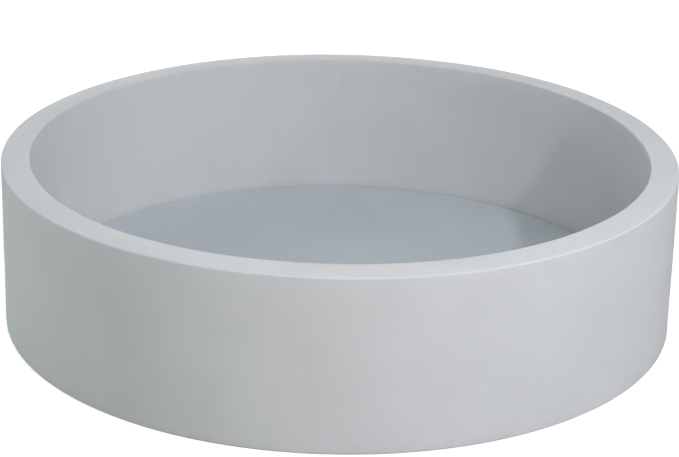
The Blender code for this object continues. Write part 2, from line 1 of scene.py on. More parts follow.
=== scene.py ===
"""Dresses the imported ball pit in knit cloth, foam, thread, nylon and zinc, and sets up its studio.

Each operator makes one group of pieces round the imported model, and main() calls them in order.
Lengths are metres and +Z is up; the side that the photograph shows faces -Y.
"""

import math

import bmesh
import bpy
import numpy as np
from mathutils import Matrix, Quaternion, Vector
from mathutils.kdtree import KDTree


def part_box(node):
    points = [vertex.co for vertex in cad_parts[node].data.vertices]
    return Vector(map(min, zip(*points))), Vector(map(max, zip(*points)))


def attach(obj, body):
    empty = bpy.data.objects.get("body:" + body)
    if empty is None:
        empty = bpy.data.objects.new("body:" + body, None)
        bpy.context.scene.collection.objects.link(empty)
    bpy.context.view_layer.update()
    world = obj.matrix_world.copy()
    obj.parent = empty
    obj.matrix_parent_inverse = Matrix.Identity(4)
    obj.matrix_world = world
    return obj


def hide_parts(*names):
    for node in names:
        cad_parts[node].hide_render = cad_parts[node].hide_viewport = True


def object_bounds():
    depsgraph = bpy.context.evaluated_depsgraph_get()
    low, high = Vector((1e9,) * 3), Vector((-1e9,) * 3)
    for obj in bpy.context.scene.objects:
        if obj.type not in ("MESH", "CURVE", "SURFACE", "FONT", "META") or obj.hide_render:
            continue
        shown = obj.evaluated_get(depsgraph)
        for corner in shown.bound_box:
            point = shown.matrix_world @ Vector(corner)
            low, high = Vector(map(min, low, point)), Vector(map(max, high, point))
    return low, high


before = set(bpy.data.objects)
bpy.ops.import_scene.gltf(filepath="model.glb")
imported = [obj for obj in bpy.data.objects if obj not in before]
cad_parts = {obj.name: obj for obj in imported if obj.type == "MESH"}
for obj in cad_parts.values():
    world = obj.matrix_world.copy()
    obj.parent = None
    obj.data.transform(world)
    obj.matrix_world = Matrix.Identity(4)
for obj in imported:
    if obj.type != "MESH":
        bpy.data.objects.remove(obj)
CAD_BOX = [list(corner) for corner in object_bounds()]

bl_info = {
    "name": "Ball pit dresser",
    "version": (1, 0, 0),
    "blender": (4, 5, 0),
    "location": "View3D > Sidebar > Ball Pit",
    "description": "Builds the cloth, foam and zips of a round ball pit over its packed model",
    "category": "Object",
}

FULL_TURN = 2 * math.pi
BACK = math.pi / 2
FIT = 0.0003
FOAM_EASE = 0.0004
SLIDER_ROOM = 0.0005
SHARP_ANGLE = math.radians(40)
ROUNDED_ANGLE = math.radians(35)
FOAM_ARCS = [f"foam_arc_{number}" for number in range(1, 5)]
SIDES = (("outer", 1), ("inner", -1))
HALVES = (("back", 1), ("front", -1))


def low_of(node):
    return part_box(node)[0]


def high_of(node):
    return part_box(node)[1]


# What the user may change


def length(name, text, default):
    """A length in metres for a property group."""
    return bpy.props.FloatProperty(
        name=name, description=text, default=default, min=0, precision=5, unit="LENGTH"
    )


def turn(name, text, degrees):
    """An angle for a property group."""
    return bpy.props.FloatProperty(
        name=name, description=text, default=math.radians(degrees), subtype="ANGLE"
    )


def colour(name, text, value):
    """A linear colour for a property group."""
    return bpy.props.FloatVectorProperty(
        name=name, description=text, default=value, size=3, min=0, max=1, subtype="COLOR"
    )


def count(name, text, default):
    """A whole number for a property group."""
    return bpy.props.IntProperty(name=name, description=text, default=default, min=1)


def amount(name, text, default):
    """A plain number for a property group."""
    return bpy.props.FloatProperty(name=name, description=text, default=default, min=0)


class BallPitSizes(bpy.types.PropertyGroup):
    """Sizes that the pieces are made from."""

    wall_thickness: length("Wall thickness", "From the outer side to the inner side", 0.050)
    rim_round: length("Rim rounding", "Radius of the rim's two edges", 0.0032)
    foot_round: length("Foot rounding", "Radius of the foot's two edges", 0.0040)
    cloth: length("Cloth", "Thickness of the knit", 0.0015)
    rim_crown: length("Rim crown", "Height of the rim's middle over its edges", 0.0008)
    rim_lift: length("Rim lift", "Height of the stuffed rim over the packed one", 0.0034)
    rim_tilt: length("Rim tilt", "How far the bent foam lifts the rim's inner edge", 0.0020)
    seam_dip: length("Seam dip", "Depth of the sleeve's one upright seam", 0.0004)
    foot_pucker: length("Foot pucker", "Height of the small gathers above the foot", 0.0003)
    wave: length("Wall wave", "How far the soft sides wander from a circle", 0.0007)
    wall_swell: length("Wall swell", "The most that stuffing moves the sleeve", 0.0012)
    wall_steps: count("Wall steps", "Faces round the wall", 720)
    mat_crown: length("Mat crown", "Height of the mat's middle over its edge", 0.002)
    mat_round: length("Mat rounding", "Radius of the mat's upper edge", 0.0040)
    mat_swell: length("Mat swell", "The most that stuffing moves the mat's cover", 0.0024)
    mat_steps: count("Mat steps", "Faces round the mat", 480)
    stitch: length("Stitch", "Length of one lockstitch", 0.0030)
    thread: length("Thread", "Diameter of the sewing thread", 0.00042)
    coil_pitch: length("Coil pitch", "From one turn of the coil to the next", 0.0018)
    coil_wire: length("Coil wire", "Diameter of the coil's filament", 0.00062)
    tooth_pitch: length("Tooth pitch", "From one moulded tooth to the next", 0.005)
    metal_bevel: length("Metal bevel", "Rounding of the cast zip parts", 0.00018)


class BallPitColours(bpy.types.PropertyGroup):
    """Colours of the cloths, foams and zips, linear."""

    knit: colour("Wall knit", "Light grey cotton knit of the wall", (0.486, 0.511, 0.532))
    mat: colour("Mat knit", "The mat's knit, a little bluer", (0.380, 0.430, 0.470))
    foam: colour("Foam", "Upholstery foam", (0.78, 0.76, 0.69))
    tape: colour("Zip tape", "Woven tape of both zips", (0.22, 0.24, 0.26))
    nylon: colour("Nylon", "Coil and moulded teeth", (0.30, 0.32, 0.34))
    thread: colour("Thread", "Sewing thread", (0.36, 0.38, 0.40))
    hook: colour("Hook pad", "Moulded hooks", (0.16, 0.17, 0.18))
    loop: colour("Loop pad", "Brushed loops", (0.55, 0.56, 0.57))
    zinc: colour("Zinc", "Cast sliders, pulls and stops", (0.62, 0.63, 0.65))
    floor: colour("Floor", "Pale studio floor", (0.40, 0.40, 0.40))
    bounce: colour("Floor bounce", "Light that the floor throws back up", (0.52, 0.52, 0.52))
    backdrop: colour("Backdrop", "Behind the pit", (0.0, 0.0, 0.0))


class BallPitStudio(bpy.types.PropertyGroup):
    """The camera and the surroundings."""

    lens: amount("Lens", "Focal length in millimetres on a 36 mm sensor", 114.86)
    distance: length("Camera distance", "From the camera to the middle of the pit", 3.9211)
    rise: turn("Camera rise", "Height of the camera above the horizon", 21.11)
    roll: turn("Camera roll", "Turn of the camera about its own axis", 1.08)
    aim_x: length("Aim", "Sideways place of the point that the camera looks at", 0.0018)
    aim_z: length("Aim height", "Height of the point that the camera looks at", 0.1519)
    sky: amount("Surroundings", "Strength of the plain white surroundings", 0.16)


# Lines, sections and grids


def smooth(share):
    """0 to 1 with no corner at either end."""
    share = np.clip(share, 0, 1)
    return share * share * (3 - 2 * share)


def ripple(place, seed, slow, fast, terms=11):
    """A smooth random wave of about -1 to 1; place is an angle, so it closes after a full turn."""
    draw = np.random.default_rng(seed)
    waves = draw.integers(slow, fast, terms, endpoint=True)
    phases = draw.uniform(0, FULL_TURN, terms)
    return np.sin(np.multiply.outer(place, waves) + phases).sum(-1) / math.sqrt(terms)


def full_circle(steps):
    """Even angles all the way round."""
    return np.arange(steps) * FULL_TURN / steps


def arc(centre, radius, start, end, steps):
    """Points of an arc in a section; angles in degrees, 0 pointing outwards and 90 up."""
    angles = np.radians(np.linspace(start, end, steps + 1))
    return [(centre[0] + radius * math.cos(a), centre[1] + radius * math.sin(a)) for a in angles]


def between(start, end, steps):
    """Points strictly between two points of a section."""
    shares = [i / steps for i in range(1, steps)]
    return [(start[0] + (end[0] - start[0]) * t, start[1] + (end[1] - start[1]) * t) for t in shares]


def filled(corners, steps):
    """A section line through its corners, with points added between each two of them."""
    line = [corners[0]]
    for before, after, number in zip(corners, corners[1:], steps):
        line += between(before, after, number) + [after]
    return line


def turned(section, angles):
    """A (radius, height) section at each angle, as an (angles, points, 3) array."""
    radius, height = np.array(section).T
    x, y = np.outer(np.cos(angles), radius), np.outer(np.sin(angles), radius)
    return np.stack([x, y, np.broadcast_to(height, x.shape)], axis=-1)


def run_of(points):
    """Distance along a line of points, from its first one."""
    steps = np.linalg.norm(np.diff(points, axis=0), axis=1)
    return np.concatenate([[0], np.cumsum(steps)])


def numbered(rows):
    """The number of each point in rows of points."""
    return np.arange(rows.shape[0] * rows.shape[1]).reshape(rows.shape[:2])


def bands(here, ahead):
    """Faces from rows of point numbers to the rows ahead of them, each row closed on itself."""
    quads = np.stack([here, np.roll(here, -1, 1), np.roll(ahead, -1, 1), ahead], axis=-1)
    return quads.reshape(-1, 4).tolist()


def skin(name, rows, ring=False):
    """A closed mesh over rows of section points: the rows meet end to end in a ring, or are capped."""
    rows = np.asarray(rows, float)
    index = numbered(rows)
    faces = bands(index, np.roll(index, -1, axis=0)) if ring else bands(index[:-1], index[1:])
    middle = rows.mean(axis=1)
    along = run_of(np.concatenate([middle, middle[:1]]) if ring else middle)
    across = run_of(np.concatenate([rows[0], rows[0, :1]]))
    u = np.stack([along[:-1], along[:-1], along[1:], along[1:]], axis=-1)
    v = np.stack([across[:-1], across[1:], across[1:], across[:-1]], axis=-1)
    uv = np.stack(np.broadcast_arrays(u[:, None], v[None]), axis=-1).reshape(-1, 2)
    if not ring:
        faces += [index[0][::-1].tolist(), index[-1].tolist()]
        uv = np.concatenate([uv, np.zeros((2 * rows.shape[1], 2))])
    return closed_mesh(name, rows.reshape(-1, 3), faces, uv)


def spun_solid(name, section, steps):
    """A closed solid whose section runs from under its middle, round its edge, to over its middle."""
    rows = turned(section, full_circle(steps))
    index = numbered(rows)
    ahead = np.roll(index, -1, axis=0)
    quads = np.stack([index[:, :-1], index[:, 1:], ahead[:, 1:], ahead[:, :-1]], axis=-1)
    faces = quads.reshape(-1, 4).tolist()
    faces += [(a, b, index.size) for a, b in zip(index[:, 0].tolist(), ahead[:, 0].tolist())]
    faces += [(b, a, index.size + 1) for a, b in zip(index[:, -1].tolist(), ahead[:, -1].tolist())]
    middle = [(0, 0, section[0][1]), (0, 0, section[-1][1])]
    return closed_mesh(name, np.concatenate([rows.reshape(-1, 3), middle]), faces)


def closed_mesh(name, points, faces, uv=None):
    """A smooth mesh whose faces look outwards."""
    mesh = bpy.data.meshes.new(name)
    mesh.from_pydata(points.tolist(), [], faces)
    if uv is not None:
        mesh.uv_layers.new(name="UVMap").data.foreach_set("uv", uv.ravel())
    bm = bmesh.new()
    bm.from_mesh(mesh)
    volume = bm.calc_volume(signed=True)
    bm.free()
    if volume < 0:
        mesh.flip_normals()
    mesh.shade_smooth()
    return mesh


def crisp(mesh):
    """Keeps the steeper edges of a smooth mesh sharp."""
    mesh.set_sharp_from_angle(angle=SHARP_ANGLE)
    return mesh


def small_solid(rings):
    """A solid over rings of points, closed at its two ends: its points and faces."""
    width = len(rings[0])
    faces = [
        (i + j, i + (j + 1) % width, i + width + (j + 1) % width, i + width + j)
        for i in range(0, (len(rings) - 1) * width, width)
        for j in range(width)
    ]
    last = (len(rings) - 1) * width
    faces += [tuple(reversed(range(width))), tuple(range(last, last + width))]
    return [point for ring in rings for point in ring], faces


def copies(name, solid, centres, along, up):
    """One mesh of many copies of a small solid; along and up give each copy's X and Z."""
    points, faces = np.asarray(solid[0], float), solid[1]
    centres, along, up = np.broadcast_arrays(centres, along, up)
    placed = centres[:, None] + points @ np.stack([along, np.cross(up, along), up], axis=1)
    shifts = np.arange(len(centres)) * len(points)
    shifted = [[corner + shift for corner in face] for shift in shifts.tolist() for face in faces]
    return closed_mesh(name, placed.reshape(-1, 3), shifted)


def wire(name, line, radius, sides):
    """A thin rod along a line of points, flat at its two ends."""
    ahead = np.gradient(line, axis=0)
    ahead /= np.linalg.norm(ahead, axis=1, keepdims=True)
    rough = np.cross(ahead, np.roll(ahead, 1, axis=0))
    flat = np.cross(ahead, (0.0, 0.0, 1.0))
    across = np.where(np.linalg.norm(flat, axis=1, keepdims=True) > 0.2, flat, rough)
    across /= np.maximum(np.linalg.norm(across, axis=1, keepdims=True), 1e-9)
    over = np.cross(ahead, across)
    angles = full_circle(sides)[:, None]
    shell = across[:, None] * np.cos(angles) + over[:, None] * np.sin(angles)
    return skin(name, line[:, None] + radius * shell)


# Pieces


def new_object(data):
    """An object for a mesh, light or camera."""
    item = bpy.data.objects.new(data.name, data)
    bpy.context.scene.collection.objects.link(item)
    return item


def add_piece(mesh, kind, body, *nodes):
    """Links a finished mesh as a piece that moves with its body and stands for its nodes."""
    piece = new_object(mesh)
    mesh.materials.append(finish_of(kind))
    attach(piece, body)
    if nodes:
        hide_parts(*nodes)
    return piece


def add_modifier(piece, name, kind, **settings):
    modifier = piece.modifiers.new(name, kind)
    for key, value in settings.items():
        setattr(modifier, key, value)
    return modifier


def settle(piece):
    """Applies a piece's modifiers to its mesh."""
    graph = bpy.context.evaluated_depsgraph_get()
    mesh = bpy.data.meshes.new_from_object(piece.evaluated_get(graph))
    piece.modifiers.clear()
    piece.data = mesh


def dress_node(node, kind, bevel):
    """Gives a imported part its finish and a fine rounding; its mesh and place stay as they are."""
    node.data.materials.clear()
    node.data.materials.append(finish_of(kind))
    add_modifier(
        node, "rounding", "BEVEL", width=bevel, segments=2, limit_method="ANGLE",
        angle_limit=ROUNDED_ANGLE, harden_normals=False,
    )


# Stuffing the covers

PRESSURE = 4.0
STUFF_FRAMES = 20
FOAM_GRIP = 4.0
VOXEL = 0.010
NEIGHBOURS = 14


def unevenness(points, seed, size, terms=16):
    """A smooth random number of about -1 to 1 at each point, in lumps of about the given size."""
    draw = np.random.default_rng(seed)
    ways = draw.normal(size=(terms, 3))
    ways *= FULL_TURN / size / np.linalg.norm(ways, axis=1, keepdims=True)
    return np.sin(points @ ways.T + draw.uniform(0, FULL_TURN, terms)).sum(-1) / math.sqrt(terms)


def read_points(mesh, kind):
    values = np.zeros(3 * len(mesh.vertices))
    mesh.vertices.foreach_get(kind, values)
    return values.reshape(-1, 3)


def stuffed(solid, grip, lumps, seams, cap):
    """Simulates a closed cover that its stuffing presses outwards: its points, and how each one moves.

    Each point is held by its foam or by a seam, where seams is 1. grip holds the foam's usual and
    least firmness, and lumps the seed and size of its unevenness.
    """
    cover = new_object(solid)
    add_modifier(cover, "even", "REMESH", mode="VOXEL", voxel_size=VOXEL)
    settle(cover)
    before = read_points(cover.data, "co")
    outward = read_points(cover.data, "normal")
    foam = grip[0] * (1 + 0.5 * unevenness(before, *lumps))
    press(cover, np.clip(np.maximum(foam, seams(before)), grip[1], 1))
    after = read_points(cover.data, "co")
    bpy.data.objects.remove(cover)
    push = ((after - before) * outward).sum(axis=-1)
    return before, np.clip(push, 0, cap)[:, None] * outward


def press(cover, held):
    """Runs the cloth simulation on a cover and applies it to the cover's mesh."""
    group = cover.vertex_groups.new(name="held")
    for index, weight in enumerate(held.tolist()):
        group.add([index], weight, "REPLACE")
    cloth = add_modifier(cover, "stuffing", "CLOTH")
    cloth.settings.vertex_group_mass = "held"
    cloth.settings.pin_stiffness = FOAM_GRIP
    cloth.settings.use_pressure = True
    cloth.settings.uniform_pressure_force = PRESSURE
    cloth.settings.effector_weights.gravity = 0
    cloth.point_cache.frame_start = 1
    cloth.point_cache.frame_end = STUFF_FRAMES
    scene = bpy.context.scene
    for step in range(1, STUFF_FRAMES + 1):
        scene.frame_set(step)
    settle(cover)
    scene.frame_set(1)


def carried(points, cover, moves):
    """The simulated cover's moves at other points, each from the cover's points round it."""
    tree = KDTree(len(cover))
    for index, point in enumerate(cover.tolist()):
        tree.insert(point, index)
    tree.balance()
    near = [tree.find_n(point, NEIGHBOURS) for point in points.reshape(-1, 3).tolist()]
    which = np.array([[found[1] for found in row] for row in near])
    far = np.array([[found[2] for found in row] for row in near])
    share = np.exp(-((far / VOXEL) ** 2))
    share /= share.sum(axis=1, keepdims=True)
    return (moves[which] * share[..., None]).sum(axis=1).reshape(points.shape)


# Materials


class Finish:
    """A material in the making, with its nodes, its shader and the colour that it is based on."""

    def __init__(self, name, value):
        material = bpy.data.materials.new(name)
        material.use_nodes = True
        self.tree = material.node_tree
        self.shader = self.tree.nodes["Principled BSDF"]
        self.value = value
        self.place = self.add("ShaderNodeTexCoord")

    def add(self, kind, sockets=None, **settings):
        """A node with its settings, and its sockets set to a value or linked to another's output."""
        node = self.tree.nodes.new(kind)
        for key, value in settings.items():
            setattr(node, key, value)
        for socket, value in (sockets or {}).items():
            if isinstance(value, bpy.types.NodeSocket):
                self.tree.links.new(value, node.inputs[socket])
            else:
                node.inputs[socket].default_value = value
        return node

    def even(self, **constants):
        """Sets what is the same all over the surface on the shader's own sockets."""
        for socket, value in constants.items():
            self.shader.inputs[socket.replace("_", " ")].default_value = value

    def feed(self, socket, output):
        self.tree.links.new(output, self.shader.inputs[socket])

    def reckon(self, operation, first, second=0.0):
        return self.add("ShaderNodeMath", {0: first, 1: second}, operation=operation).outputs[0]

    def plus(self, base, factor, share):
        """A base with a share of a factor added."""
        return self.reckon("ADD", base, self.reckon("MULTIPLY", factor, share))

    def wave(self, turns):
        """A sine that comes round once a turn."""
        return self.reckon("SINE", self.reckon("MULTIPLY", turns, FULL_TURN))

    def laid_flat(self):
        """How far along and across its cloth a point lies, in metres."""
        parts = self.add("ShaderNodeSeparateXYZ", {0: self.place.outputs["UV"]})
        return parts.outputs["X"], parts.outputs["Y"]

    def pattern(self, kind, output, scale, sockets=None, **settings):
        """A texture in the piece's own space."""
        sockets = {"Vector": self.place.outputs["Object"], "Scale": scale, **(sockets or {})}
        return self.add(f"ShaderNodeTex{kind}", sockets, **settings).outputs[output]

    def grains(self, scale, detail=2.0):
        """Noise of about 0 to 1."""
        return self.pattern("Noise", "Fac", scale, {"Detail": detail})

    def cells(self, scale):
        """Distance from the middle of a cell."""
        return self.pattern("Voronoi", "Distance", scale)

    def shade(self, factor, first, last=1.0):
        """Tints the colour from one brightness to another, by a factor of 0 to 1."""
        tints = {
            socket: (*[min(1.0, channel * tint) for channel in self.value], 1)
            for socket, tint in (("A", first), ("B", last))
        }
        mix = self.add("ShaderNodeMix", {"Factor": factor, **tints}, data_type="RGBA")
        self.feed("Base Color", mix.outputs["Result"])

    def roughen(self, factor, reach, least):
        """Roughness that goes up by its reach with a factor of 0 to 1."""
        self.feed("Roughness", self.plus(least, factor, reach))

    def bump(self, height, distance):
        sockets = {"Height": height, "Distance": distance, "Strength": 1.0}
        self.feed("Normal", self.add("ShaderNodeBump", sockets).outputs["Normal"])


def plain_knit(yarn, pitch):
    """Fine plain knit: columns of small V stitches, a short nap and a slight heather in the yarn."""
    yarn.even(Roughness=0.88, Sheen_Weight=0.18, Sheen_Roughness=0.45, Specular_IOR_Level=0.25)
    along, across = yarn.laid_flat()
    lean = yarn.reckon("PINGPONG", yarn.reckon("DIVIDE", along, pitch), 0.5)
    course = yarn.reckon("DIVIDE", across, pitch * 0.8)
    loops = yarn.wave(yarn.plus(course, lean, 1.3))
    height = yarn.plus(yarn.wave(lean), loops, 0.35)
    fine = yarn.grains(700.0)
    heather = yarn.plus(yarn.reckon("MULTIPLY", fine, 0.35), yarn.grains(9.0, 4.0), 0.45)
    # The colour also takes a small share of the stitch height, so the raised loops are a little lighter and
    # the furrows between them a little darker: painted shade on the stitches.
    yarn.shade(yarn.plus(heather, height, 0.03), 0.86, 1.14)
    yarn.roughen(fine, 0.16, 0.80)
    yarn.bump(yarn.reckon("ADD", height, yarn.grains(1600.0, 3.0)), 0.00006)


def cut_foam(block):
    """Open-celled foam: pits of under a millimetre and a slightly uneven cut."""
    block.even(Roughness=0.95, Subsurface_Weight=0.08)
    pits = block.plus(block.cells(1100.0), block.grains(60.0, 3.0), 0.4)
    # The pits are painted darker than the rims of the cells: painted shade in the hollows, mixed with a
    # random unevenness of tone.
    block.shade(pits, 0.80)
    block.bump(pits, 0.0005)


def herringbone(tape):
    """Herringbone tape, its slant turning back every few threads."""
    tape.even(Roughness=0.75, Sheen_Weight=0.1)
    along, across = tape.laid_flat()
    zigzag = tape.reckon("PINGPONG", tape.reckon("DIVIDE", across, 0.0018), 1.0)
    weave = tape.wave(tape.plus(tape.reckon("DIVIDE", along, 0.0007), zigzag, 1.6))
    # Besides random noise, the colour follows the weave's relief: lighter on the raised threads and darker
    # between them, which is painted shade.
    tape.shade(tape.plus(tape.grains(900.0), weave, 0.25), 0.75, 1.2)
    tape.bump(weave, 0.00012)


def satin_nylon(nylon):
    """Moulded or drawn nylon with a satin skin."""
    nylon.even(Roughness=0.38, Subsurface_Weight=0.05)
    flow = nylon.grains(260.0, 3.0)
    nylon.shade(flow, 0.90, 1.08)
    nylon.roughen(flow, 0.2, 0.28)
    nylon.bump(flow, 0.00005)


def tumbled_zinc(metal):
    """Tumbled zinc casting, duller where it has been rubbed."""
    metal.even(Roughness=0.35, Metallic=1.0)
    worn = metal.grains(240.0)
    metal.shade(worn, 0.80)
    metal.roughen(worn, 0.30, 0.20)
    metal.bump(metal.grains(1800.0, 4.0), 0.00003)


def pile(pad, roughness, spacing):
    """Hooks or loops in close rows."""
    pad.even(Roughness=roughness, Sheen_Weight=0.1)
    near = pad.cells(1 / spacing)
    # The colour is lighter on the tops of the hooks or loops and much darker in the gaps between them,
    # following the bump: painted light and painted shade.
    pad.shade(near, 1.15, 0.6)
    pad.bump(pad.reckon("SUBTRACT", 1.0, near), 0.0004)


def twisted_thread(thread):
    """Twisted polyester thread."""
    thread.even(Roughness=0.55, Sheen_Weight=0.15)
    twist = thread.pattern("Wave", "Fac", 900.0, {"Distortion": 0.6}, bands_direction="DIAGONAL")
    # The colour follows the twist's relief: lighter on the ridges and darker in the grooves, which is painted
    # shade.
    thread.shade(twist, 0.75, 1.1)
    thread.bump(twist, 0.00008)


def matt_floor(floor, glow):
    """Matt pale floor with the faintest unevenness, lifted a little so that its shadows stay light."""
    floor.even(
        Roughness=0.9, Specular_IOR_Level=0.1, Emission_Strength=glow, Emission_Color=(1, 1, 1, 1)
    )
    floor.shade(floor.grains(0.8), 0.985)


MAKERS = {
    "knit": (plain_knit, 0.0011),
    "mat": (plain_knit, 0.0012),
    "foam": (cut_foam,),
    "tape": (herringbone,),
    "nylon": (satin_nylon,),
    "thread": (twisted_thread,),
    "hook": (pile, 0.5, 0.0014),
    "loop": (pile, 0.9, 0.0009),
    "zinc": (tumbled_zinc,),
    "floor": (matt_floor, 0.82),
    "bounce": (matt_floor, 0.0),
    "backdrop": (matt_floor, 1.0),
}


def finish_of(kind):
    """The material of one kind, made once from the colour that the user set for it."""
    name = f"ball_pit_{kind}"
    if name not in bpy.data.materials:
        maker, *settings = MAKERS[kind]
        maker(Finish(name, tuple(getattr(bpy.context.scene.ball_pit_colours, kind))), *settings)
    return bpy.data.materials[name]


# Stitches

HEM_STITCH = 0.0025
EDGE_STITCH = 0.0022
STITCH_LEVEL = 0.00012
STITCH_SHOWN = 0.86
STITCH_RINGS = ((-1, 0.4, -0.9), (-0.55, 1, 0), (0.55, 1, 0), (1, 0.4, -0.9))


def sew(name, centres, along, body, sizes):
    """A row of stitches that show from below, their two ends dipping into the cloth."""
    half = sizes.stitch / 2 * STITCH_SHOWN
    radius = sizes.thread / 2
    round_thread = [FULL_TURN * step / 5 for step in range(5)]
    rings = [
        [
            (share * half, thick * radius * math.cos(a), radius * (lift + thick * math.sin(a)))
            for a in round_thread
        ]
        for share, thick, lift in STITCH_RINGS
    ]
    add_piece(copies(name, small_solid(rings), centres, along, (0, 0, -1)), "thread", body)


# The soft wall

OUTER = CAD_BOX[1][0]
WALL_HEIGHT = CAD_BOX[1][2]
RIM_WAVES = ((1, 0.0002, -0.0002), (2, -0.0008, 0.0005))
RIM_BLEND = 0.006
FOOT_SEAM = high_of("base_band_outer").x + FIT
SETTLE_LOW = 0.045
SETTLE_HIGH = 0.150
SEAM_HALF = 0.0009
SEAM_ROWS = (-2.4, -1.6, -1.0, -0.5, 0, 0.5, 1.0, 1.6, 2.4)
SEAM_FADE = 0.01
GATHER_LOW = 0.004
GATHER_TOP = 0.035
WALL_GRIP = (0.30, 0.10)
WALL_LUMPS = (29, 0.22)
HAIR = 0.00005
JOINT_HALF = 0.00165
CHANNEL_HALF = 0.0070
CHANNEL_BEVEL = 0.001
FOAM_BEVEL = 0.0006
PAD_BEVEL = 0.0003
NAP = 0.0002


def wall_middle(sizes):
    """The radius at the middle of the wall."""
    return OUTER - sizes.wall_thickness / 2


def above_foot(points):
    """0 at the held foot to 1 where the wall is free to wander."""
    return smooth((points[..., 2] - SETTLE_LOW) / (SETTLE_HIGH - SETTLE_LOW))


def settled(points, sizes):
    """Moves points of the wall as foam and stretched knit settle: broad waves, and a rim that dips and rises.

    A straight slab that is bent into a ring is pressed on its inside and pulled on its outside,
    so its top leans: the inner edge rises and the outer one sinks.
    """
    angles = np.arctan2(points[..., 1], points[..., 0])
    radius = np.hypot(points[..., 0], points[..., 1])
    half = sizes.wall_thickness / 2
    outward = np.clip((radius - (OUTER - half)) / half, -1, 1)
    rise = sizes.rim_lift - sizes.rim_tilt * outward
    for waves, cosine, sine in RIM_WAVES:
        rise = rise + cosine * np.cos(waves * angles) + sine * np.sin(waves * angles)
    wander = ripple(angles, 3, 2, 6) + 0.35 * ripple(angles, 5, 9, 21)
    grown = (radius + sizes.wave * above_foot(points) * wander) / radius
    moved = points.copy()
    moved[..., :2] *= grown[..., None]
    moved[..., 2] += rise * (points[..., 2] / WALL_HEIGHT) ** 3
    return moved


def wall_profile(sizes, depth, steps):
    """The sleeve's section set in by depth, from the foot's inner seam over the rim to its outer seam."""
    arcs, sides = steps
    foot, rim = sizes.foot_round, sizes.rim_round
    outer = filled([(FOOT_SEAM, depth), (OUTER - foot, depth)], [3])[:-1]
    outer += arc((OUTER - foot, foot), foot - depth, -90, 0, arcs)
    crown = arc((OUTER - rim, WALL_HEIGHT - rim), rim - depth, 0, 90, arcs + 2)
    outer += between(outer[-1], crown[0], sides) + crown
    inner = [(2 * wall_middle(sizes) - r, z) for r, z in outer]
    line = inner + between(inner[-1], outer[-1], 6) + outer[::-1]
    return [(r, z + crown_of(r, z, sizes)) for r, z in line]


def crown_of(radius, height, sizes):
    """The rim's soft dome, as a height added to points near the top."""
    half = sizes.wall_thickness / 2
    across = (radius - (OUTER - half)) / (half - sizes.rim_round)
    near_top = smooth((height - (WALL_HEIGHT - sizes.rim_round)) / sizes.rim_round)
    return sizes.rim_crown * max(0.0, 1 - across**2) * near_top


def sleeve_filling(outside, sizes):
    """How the foam and the pull of the knit push the sleeve out; its foot is held by its seams."""
    rows = settled(turned(outside, full_circle(sizes.wall_steps)), sizes)
    solid = skin("stuffed_wall", rows, ring=True)
    return stuffed(solid, WALL_GRIP, WALL_LUMPS, lambda points: 1 - above_foot(points), sizes.wall_swell)


def gather_sleeve(rows, angles, sizes):
    """Pulls the seam in and raises small gathers just above the foot."""
    height = rows[..., 2].copy()
    radius = np.hypot(rows[..., 0], rows[..., 1])
    outward = np.where(radius > wall_middle(sizes), 1.0, -1.0)
    off_seam = (angles[:, None] - BACK) * radius / SEAM_HALF
    dip = -sizes.seam_dip * np.exp(-(off_seam**2))
    low = smooth(1 - height / GATHER_TOP) * smooth(height / GATHER_LOW)
    pucker = sizes.foot_pucker * low * ripple(angles, 11, 70, 150)[:, None]
    move = (dip * smooth(height / SEAM_FADE) + pucker) * outward
    top = smooth((height - (WALL_HEIGHT - RIM_BLEND)) / RIM_BLEND)
    rows[..., :2] *= (1 + move * (1 - top) / radius)[..., None]
    rows[..., 2] += dip * top


class BALLPIT_OT_wall_sleeve(bpy.types.Operator):
    """Makes the knit sleeve over both sides and the rim, with its one upright seam at the back"""

    bl_idname = "ballpit.wall_sleeve"
    bl_label = "Wall sleeve"

    def execute(self, context):
        sizes = context.scene.ball_pit_sizes
        near_seam = np.array(SEAM_ROWS) * SEAM_HALF / OUTER
        even = full_circle(sizes.wall_steps)
        keep = np.abs(even - BACK) > 3 * SEAM_HALF / OUTER
        angles = np.sort(np.concatenate([even[keep], BACK + near_seam]))
        outside = wall_profile(sizes, 0, (6, 18))
        inside = wall_profile(sizes, sizes.cloth, (3, 6))
        rows = settled(turned(outside + inside[::-1], angles), sizes)
        rows += carried(rows, *sleeve_filling(outside, sizes))
        gather_sleeve(rows, angles, sizes)
        piece = add_piece(skin("wall_sleeve", rows, ring=True), "knit", "ring", "wall_cover")
        return {"FINISHED"}


def folded_band(slit, edge, cloth):
    """The band in section: its lower layer, the fold at the slit and the layer turned back over it."""
    fold, turn_back = (slit + cloth, cloth), edge - 0.0005
    outside = arc(fold, cloth, -90, -270, 8)
    return [
        (edge - 0.0003, 0), *between((edge, 0), outside[0], 4), *outside,
        (turn_back - 0.0003, 2 * cloth), (turn_back, 2 * cloth - 0.0004),
        (turn_back, cloth + HAIR), *arc(fold, HAIR, -270, -90, 3),
        (edge, cloth - HAIR), (edge, 0.0004),
    ]


def ring_stitches(name, radius, sizes):
    """A row of stitches round a circle."""
    number = int(FULL_TURN * radius / sizes.stitch)
    angles = (np.arange(number) + 0.5) * FULL_TURN / number
    cosine, sine, zeros = np.cos(angles), np.sin(angles), np.zeros(number)
    centres = np.stack([radius * cosine, radius * sine, zeros + STITCH_LEVEL], axis=-1)
    sew(name, centres, np.stack([-sine, cosine, zeros], axis=-1), "ring", sizes)


